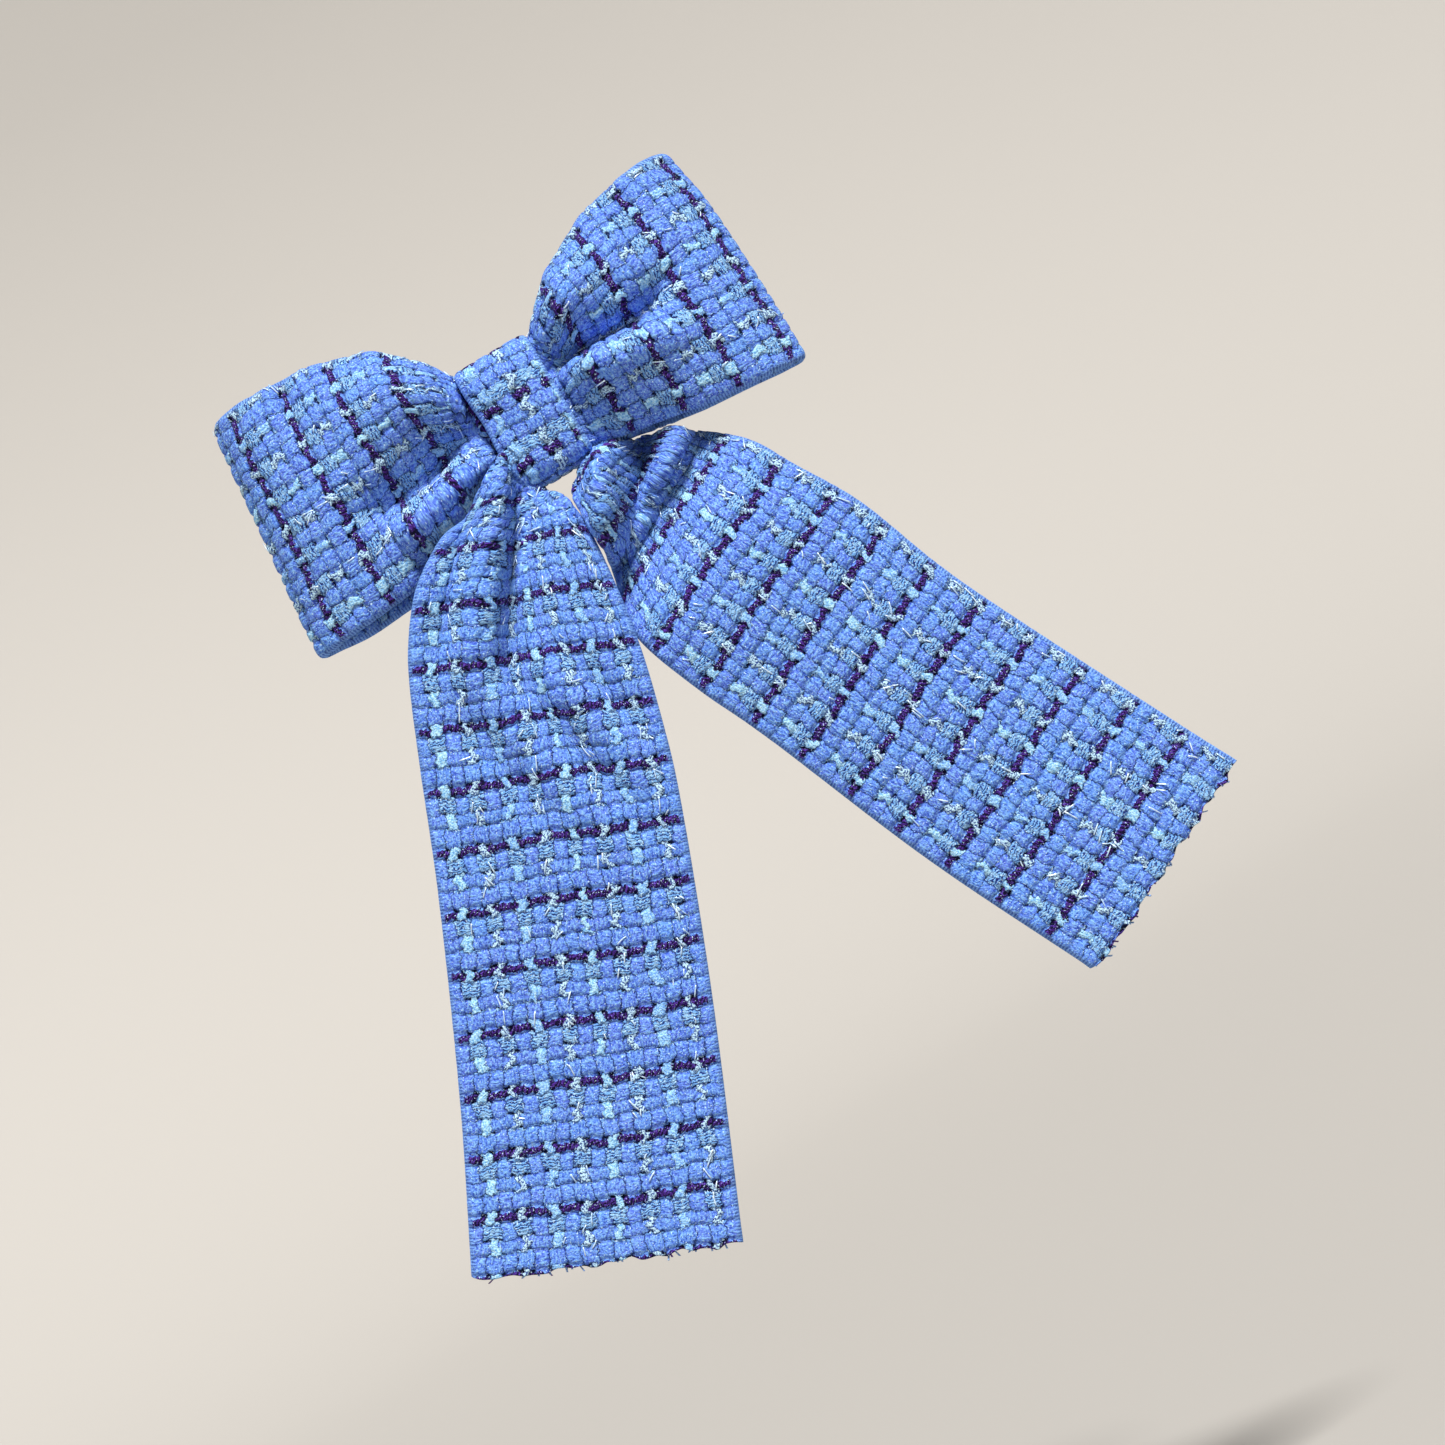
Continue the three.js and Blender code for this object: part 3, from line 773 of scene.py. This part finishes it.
def wing(side, span, length, slant, outline, share, forward, folds, crown, drop):
    """One wing, from the middle of the bow along its back layer, round the outer fold and home in front.

    side: 1 to the right, -1 to the left. span: how far out it reaches. length: of one layer.
    slant: how much further out each part of the width reaches. outline: share of the span, top, bottom.
    share, forward: where each part of the width goes at the knot, and how far forward.
    folds: as for folds_at. crown: how far the front swells.
    drop: how much lower the back layer hangs than the front one.
    """
    steps = int(round(length / COARSE))
    v = np.linspace(0, 1, COLUMNS)[None, :]
    out = np.linspace(0, 1, steps + 1)[:, None]
    further = along_curve(v, slant)
    x = out * (span + further * out)
    mark, top, bottom = np.array(outline).T
    high = np.interp(out, mark, top)
    low = np.interp(out, mark, bottom)

    # the front: gathered and folded at the knot, swelling and opening out from it
    folded = along_curve(v, share)
    level = folded + (v - folded) * ease(out / 0.72)
    z = low + (high - low) * level
    from_knot = ease((x - KNOT_EDGE) / 14)
    swell = crown * np.sin(np.pi * out**0.8) * (1 - np.abs(2 * v - 1) ** 2.5) * from_knot
    depth = along_curve(v, forward) * (1 - ease((out - 0.14) / 0.62)) + folds_at(x, z, folds)
    depth = depth * (0.1 + 0.9 * from_knot)
    front_y = FRONT_Y - 3.0 * ease((out - 0.1) / 0.5) + 5.4 * ease((out - 0.86) / 0.14)
    front = np.stack([x, front_y - swell - depth, z], axis=-1)

    # the back: nearly flat
    rear_low = low - drop * ease(out * 6) * (1 - ease((out - 0.8) / 0.2))
    rear_z = rear_low + (high - 1.0 - rear_low) * v
    rear_y = REAR_Y + 2.2 * ease(out / 0.4) - 0.6 * ease((out - 0.9) / 0.1) + 0 * rear_z
    rear = np.stack([x, rear_y, rear_z], axis=-1)

    # the back and both ends are held; the front is held near the knot, along its edges and at its fold
    goal = np.concatenate([rear, front[::-1][1:]])
    from_middle = np.arange(steps + 1)[::-1, None] * COARSE
    hold = np.full(goal.shape[:2], 0.06)
    hold[steps:] = 0.004 + 0.3 * (1 - ease((from_middle - 22) / 32))
    hold[-5:] = 0.5
    hold[:4] = 0.5
    at_edge = np.minimum(v, 1 - v)[0] < 0.03
    hold[steps:-4, at_edge] = 0.05
    hold[steps - 2:steps + 3] = 0.2
    sheet = relax(goal, (length + further[0]) / steps, COARSE, hold, ROUNDS, bend=0.01)
    sheet[..., 0] *= side
    return sheet, (np.arange(len(sheet)) - steps) * COARSE


def loop_piece():
    """One ring: out along the right wing's back and home in front, then out and home on the left."""
    left, left_run = wing(
        side=-1, span=LEFT_SPAN, length=79,
        slant=[(0, 3.8), (0.1, 3.8), (0.5, 1.2), (0.9, -1.4), (1, -2.6)],
        outline=[(0, 12, -12), (0.15, 15.5, -13.5), (0.22, 23.5, -15.5), (0.36, 33, -19),
                 (0.6, 38, -24), (0.85, 39, -25.6), (1, 39.2, -26)],
        share=[(0, 0), (0.09, 0.17), (0.18, 0.3), (0.28, 0.42), (0.37, 0.53), (0.55, 0.66), (0.75, 0.8),
               (1, 1)],
        forward=[(0, -3), (0.12, -1), (0.28, -1), (0.4, -2), (0.57, 5), (0.7, 8), (0.85, 7), (1, 0)],
        folds=[(7, 3, 2.6, [(10, -4.5), (22, -8), (38, -12)]),
               (-7, 6, 2.2, [(13, 2), (20, 0), (30, -3), (42, -4)]),
               (-6, 2, 3, [(13, -9.5), (26, -14), (40, -19)])],
        crown=7, drop=1.6)
    right, right_run = wing(
        side=1, span=RIGHT_SPAN, length=72,
        slant=[(0, 1.8), (0.3, 1.8), (0.72, 0.8), (0.9, -1), (1, -2)],
        outline=[(0, 12, -12), (0.15, 13.8, -13.8), (0.22, 19, -16), (0.36, 27.5, -18.4),
                 (0.6, 35.4, -21.5), (0.85, 38.8, -23.2), (1, 40, -23.6)],
        share=[(0, 0), (0.2, 0.27), (0.37, 0.5), (0.46, 0.63), (0.6, 0.72), (1, 1)],
        forward=[(0, -1), (0.1, 3), (0.22, 5), (0.35, 4), (0.5, 0), (0.62, 1), (0.76, 6), (0.88, 6),
                 (1, 0)],
        folds=[(-9, 5, 2, [(12, 5.5), (24, 5), (35, 4.5), (41, 6)]),
               (5, 1.5, 6, [(12, 3), (24, 1.5), (38, -0.5)])],
        crown=6, drop=-0.8)
    ring = np.concatenate([right, left[::-1][1:]])
    run = np.concatenate([right_run + RIGHT_START, left_run[::-1][1:] + LEFT_START])
    ring, run = finer(ring, FINE, 0), finer(run, FINE, 0)
    # under the knot, between the two wings' fronts, run jumps: the weave stands still there
    jump = np.abs(np.diff(run, append=run[-1])) > COARSE
    run = np.where(jump | np.roll(jump, 1), run[0], run)
    ring = finer(ring, FINE, 1)[:, ::-1]
    s = np.broadcast_to(run[:, None], ring.shape[:2])
    t = np.broadcast_to(np.linspace(0, LOOP_FLAT[0], ring.shape[1])[None, ::-1], s.shape)
    return tweed_mesh("tweed_loops", ring, s, t, LOOP_FLAT[0], ring=True)


# ---- tails ----
def tail(name, left_edge, right_edge, width, share, folds, open_by, belly, turned, phase):
    """A tail, from its pleats at the knot to its cut end, between its two edges.

    share: where each part of the width goes at the knot. folds: as for folds_at.
    open_by: the share of the length over which the pleats open. belly: how far forward the middle bulges.
    turned: -1 to weave it end for end. phase: where along the warp its cut end is.
    """
    left, right = curve_through(left_edge, TAIL_ROWS), curve_through(right_edge, TAIL_ROWS)
    v = np.linspace(0, 1, COLUMNS)[None, :]
    f = np.linspace(0, 1, TAIL_ROWS)[:, None]
    folded = along_curve(v, share)
    level = v + (folded - v) * (1 - ease(f / open_by))
    goal = left[:, None] * (1 - level[..., None]) + right[:, None] * level[..., None]
    goal[..., 1] -= folds_at(goal[..., 0], goal[..., 2], folds) * (0.3 + 0.7 * ease(f / 0.04))
    goal[..., 1] -= belly * (4 * v * (1 - v)) * ease(f / open_by) * (1.3 - f)
    down = np.linspace(run_along(left)[-1], run_along(right)[-1], COLUMNS) / (TAIL_ROWS - 1)

    # held along its edges, in its pleats and at both ends; softer to bend where the pleats are
    hold = np.full((TAIL_ROWS, COLUMNS), 0.004)
    hold += 0.3 * np.exp(-((np.minimum(v, 1 - v) * COLUMNS / 1.2) ** 2))
    hold += 0.35 * (1 - ease((f - 0.1) / 0.2))
    hold[:2] = 0.6
    hold[-2:] = 0.05
    bend = 0.014 + 0.026 * ease((f[:, 0] - 0.12) / 0.14)
    sheet = relax(goal, down, width / (COLUMNS - 1), hold, ROUNDS, bend)

    across = v[0]
    ragged = 0.3 * np.sin(across * 71) + 0.4 * np.sin(across * 29 + phase) + 0.2 * np.sin(across * 133)
    ragged -= 1.6 * np.exp(-((across * width / 3) ** 2))
    sheet[-1] += unit(sheet[-1] - sheet[-2]) * ragged[:, None]
    s = turned * (np.arange(TAIL_ROWS)[::-1, None] * down[None, :]) + phase
    t = np.broadcast_to(v * width, s.shape)
    sheet, s, t = (finer(finer(part, FINE, 0), FINE, 1) for part in (sheet, s, t))
    return tweed_mesh(name, sheet, s, t, width)


def left_tail_piece():
    pleat = [(-10, -8), (-13, -14), (-18.2, -22), (-25.6, -32)]
    return tail(
        "tweed_left_tail",
        left_edge=[(-10, -26, -6.5), (-18.5, -28, -12.3), (-25.5, -29, -15.6), (-33, -30.3, -17.2),
                   (-43, -31, -23.5), (-50, -30.5, -31), (-57, -29.5, -42), (-66, -28, -62),
                   (-79, -27, -93), (-100, -25, -138), (-120, -24, -177)],
        right_edge=[(-10.8, -24.5, -18), (-5, -26, -20.5), (-1, -27, -28), (-1.4, -27.5, -42),
                    (-4.5, -27.5, -63), (-9.5, -27, -83), (-16, -26.5, -103), (-34, -25, -148),
                    (-58, -24, -202.5)],
        width=LEFT_TAIL_FLAT[0],
        share=[(0, 0), (0.2, 0.24), (0.36, 0.44), (0.46, 0.53), (0.54, 0.54), (0.63, 0.56), (0.78, 0.74),
               (1, 1)],
        folds=[(5.5, 0.8, 8, [*pleat, (-35, -46)]),
               (-5.5, 10, 0.6, [*pleat, (-34, -44)]),
               (-3, 2, 3, [(-16, -9), (-25.5, -17), (-36, -28), (-47, -41)])],
        open_by=0.36, belly=2.0, turned=-1, phase=0.9)


def right_tail_piece():
    pinch = [(-3, -44), (9, -41), (19, -34), (28, -29), (36, -21)]
    return tail(
        "tweed_right_tail",
        left_edge=[(9.5, -19, -17.5), (3, -21, -21.5), (0, -23.5, -26), (-0.2, -25, -33),
                   (-0.5, -25.5, -41), (-3.5, -25.5, -55), (-4, -25, -64), (2, -24, -81),
                   (11, -22.5, -101), (29, -21, -146), (50, -20, -190.5)],
        right_edge=[(13, -17.5, -17.5), (23, -17.5, -19.5), (33, -19, -23.5), (44, -22.5, -33.5),
                    (51, -24, -46), (60, -24, -62), (68, -23, -84), (76, -22, -102), (97, -20, -145),
                    (106.5, -19, -164)],
        width=RIGHT_TAIL_FLAT[0],
        share=[(0, 0), (0.22, 0.18), (0.48, 0.36), (0.62, 0.55), (0.82, 0.84), (1, 1)],
        folds=[(9, 4, 3.2, [(12, -18), (8, -24), (5.5, -30), (2, -38)]),
               (-11.5, 4, 4.5, [(22, -21), (17, -28), (11, -35), (2, -41)]),
               (3.5, 14, 0.8, pinch),
               (-8, 0.8, 13, pinch)],
        open_by=0.24, belly=3.0, turned=1, phase=302.0)


# ---- the knot ----
KNOT_WEAVE = (1200, 18)  # where its weave starts, along the warp and across it


def squared(x):
    """Turns a round outline's sine or cosine into that of a box with round corners."""
    return np.sign(x) * np.abs(x) ** 0.45


def knot_piece():
    """A band round the middle of the bow, crowned and a little creased in front."""
    wide = KNOT_FLAT[0]
    centre = (KNOT_LOW + KNOT_HIGH) / 2
    half = (KNOT_HIGH - KNOT_LOW) / 2 - CAD_HALF
    turn = np.linspace(0, -2 * math.pi, 241)[:, None]
    v = np.linspace(-1, 1, int(wide / CELL) + 1)[None, :]
    depth = squared(np.cos(turn)) * half[1]
    height = squared(np.sin(turn)) * half[2]
    front = np.clip(-depth / half[1], 0, 1)
    y = centre[1] + depth - front * 0.9 * (1 - v**2) + front * 0.7 * np.abs(v) ** 5
    y = y - front * 0.45 * np.sin(height * 0.23 + v * 2.2)
    pinch = 0.05 * np.exp(-(((height - 2) / 5) ** 2)) + 0.1 * np.clip(-height / half[2], 0, 1) ** 3
    x = v * (KNOT_HIGH[0] - 0.2) * (1 - pinch * (v < 0))
    points = np.stack([x, y, centre[2] + height + 0 * v], axis=-1)

    # spaced evenly round the band
    run = run_along(points[:, points.shape[1] // 2])
    want = np.linspace(0, run[-1], int(run[-1] / CELL))
    lines = [[np.interp(want, run, points[:, column, axis]) for axis in range(3)]
             for column in range(points.shape[1])]
    band = np.moveaxis(np.array(lines), 2, 0)
    s = np.broadcast_to(want[:, None], band.shape[:2]) + KNOT_WEAVE[0]
    t = np.broadcast_to((v + 1) * wide / 2 + KNOT_WEAVE[1], band.shape[:2])
    return tweed_mesh("tweed_knot", band, s, t, wide, ring=True)


def place_cloth(made, node, bend=None):
    """Puts a cloth piece and what is on it in the place of its CAD node.
    bend: given for a tail; such a piece is left where it is rather than attached to the bow's body, and
    the points in bend are not used."""
    cloth, extras = made
    for piece in (cloth, *extras):
        if bend:
            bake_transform(piece)
        else:
            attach(piece, "bow")
    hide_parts(node)


def paint(material, *nodes):
    """Gives CAD nodes that stay a material."""
    for node in nodes:
        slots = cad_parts[node].data.materials
        slots.clear()
        slots.append(material)


place_cloth(loop_piece(), "bow_loop")
place_cloth(knot_piece(), "knot_wrap")
place_cloth(left_tail_piece(), "left_tail",
            bend=((-14, -25, -7), (-33, -27, -45)))
place_cloth(right_tail_piece(), "right_tail",
            bend=((9, -19, -19), (24, -23, -50)))
paint(STEEL, "barrette_base", "hinge_pin", "tension_bar", "clasp_arm", "catch_plate", "catch_rivet",
      "upper_prong", "lower_prong")
paint(FELT, "backing_tab")
paint(THREADS["blue"], "gathering_thread", "ring_seam_stitch", "knot_closing_stitch",
      "sewing_thread_left", "sewing_thread_right")


# ---- stage, light and camera, in metres ----
def make_stage():
    """A pale floor under the tails that turns up, far away, into a wall all round."""
    material, _, shader = new_material("stage_paint")
    set_shader(shader, {
        "Base Color": srgb(172, 168, 162),
        "Roughness": 0.95,
        "Specular IOR Level": 0.1,
    })
    floor_z = cad_box[0].z - 0.13
    flat = 2.1  # radius of the floor, before it turns up
    round_off = 2.0  # radius of the turn from floor to wall
    turn_up = np.linspace(0, math.pi / 2, 13)
    profile = [(0.0, 0.0), (0.6, 0.0), (1.2, 0.0)]
    profile += [(flat + round_off * math.sin(a), round_off - round_off * math.cos(a)) for a in turn_up]
    sides = 96
    turns = np.linspace(0, 2 * math.pi, sides, endpoint=False)
    rows = [[(r * math.cos(b), r * math.sin(b), floor_z + z) for b in turns] for r, z in profile]
    index = np.arange(len(rows) * sides).reshape(-1, sides)
    onward = np.roll(index, -1, axis=1)
    faces = quads(index[:-1], onward[:-1], onward[1:], index[1:])
    mesh_from("stage_bowl", np.array(rows).reshape(-1, 3), faces, material)


def make_lights():
    """A soft sun from the front, above and a little to the right, a weak fill and a pale sky."""
    sun = bpy.data.lights.new("sun", "SUN")
    sun.energy = 5.1
    sun.angle = math.radians(14)
    sun.color = (1, 0.99, 0.98)
    sun_lamp = add_object("sun", sun)
    sun_lamp.rotation_euler = Vector((0.3, -0.6, 0.9)).to_track_quat("Z", "Y").to_euler()

    fill = bpy.data.lights.new("fill", "AREA")
    fill.energy = 1.5
    fill.shape = "DISK"
    fill.size = 0.9
    fill.color = (0.93, 0.96, 1)
    fill_lamp = add_object("fill", fill)
    fill_lamp.location = (-0.9, -1.1, 0.3)
    aim = Vector((0, 0, -0.07)) - fill_lamp.location
    fill_lamp.rotation_euler = aim.to_track_quat("-Z", "Y").to_euler()
    fill_lamp.visible_camera = False

    world = bpy.data.worlds.new("world")
    world.use_nodes = True
    background = world.node_tree.nodes["Background"]
    background.inputs["Color"].default_value = (0.86, 0.87, 0.89, 1)
    background.inputs["Strength"].default_value = 0.26
    bpy.context.scene.world = world


def make_camera():
    """A long lens in front, turned so that the bow leans as it does where it lies."""
    aim = Vector((2.9, -22, -91)) * MM
    roll = math.radians(31)
    lift = math.radians(-3)
    view_width = 356 * MM
    back = Vector((0, -math.cos(lift), math.sin(lift)))
    side = Vector((math.cos(roll), 0, -math.sin(roll)))
    up = back.cross(side).normalized()
    side = up.cross(back).normalized()
    data = bpy.data.cameras.new("camera")
    data.lens = 85
    data.sensor_width = 36
    distance = view_width * data.lens / data.sensor_width
    camera = add_object("camera", data)
    turn = Matrix((side, up, back)).transposed()
    camera.matrix_world = Matrix.Translation(aim + back * distance) @ turn.to_4x4()
    bpy.context.scene.camera = camera
    bpy.context.scene.view_settings.view_transform = "Standard"


make_stage()
make_lights()
make_camera()
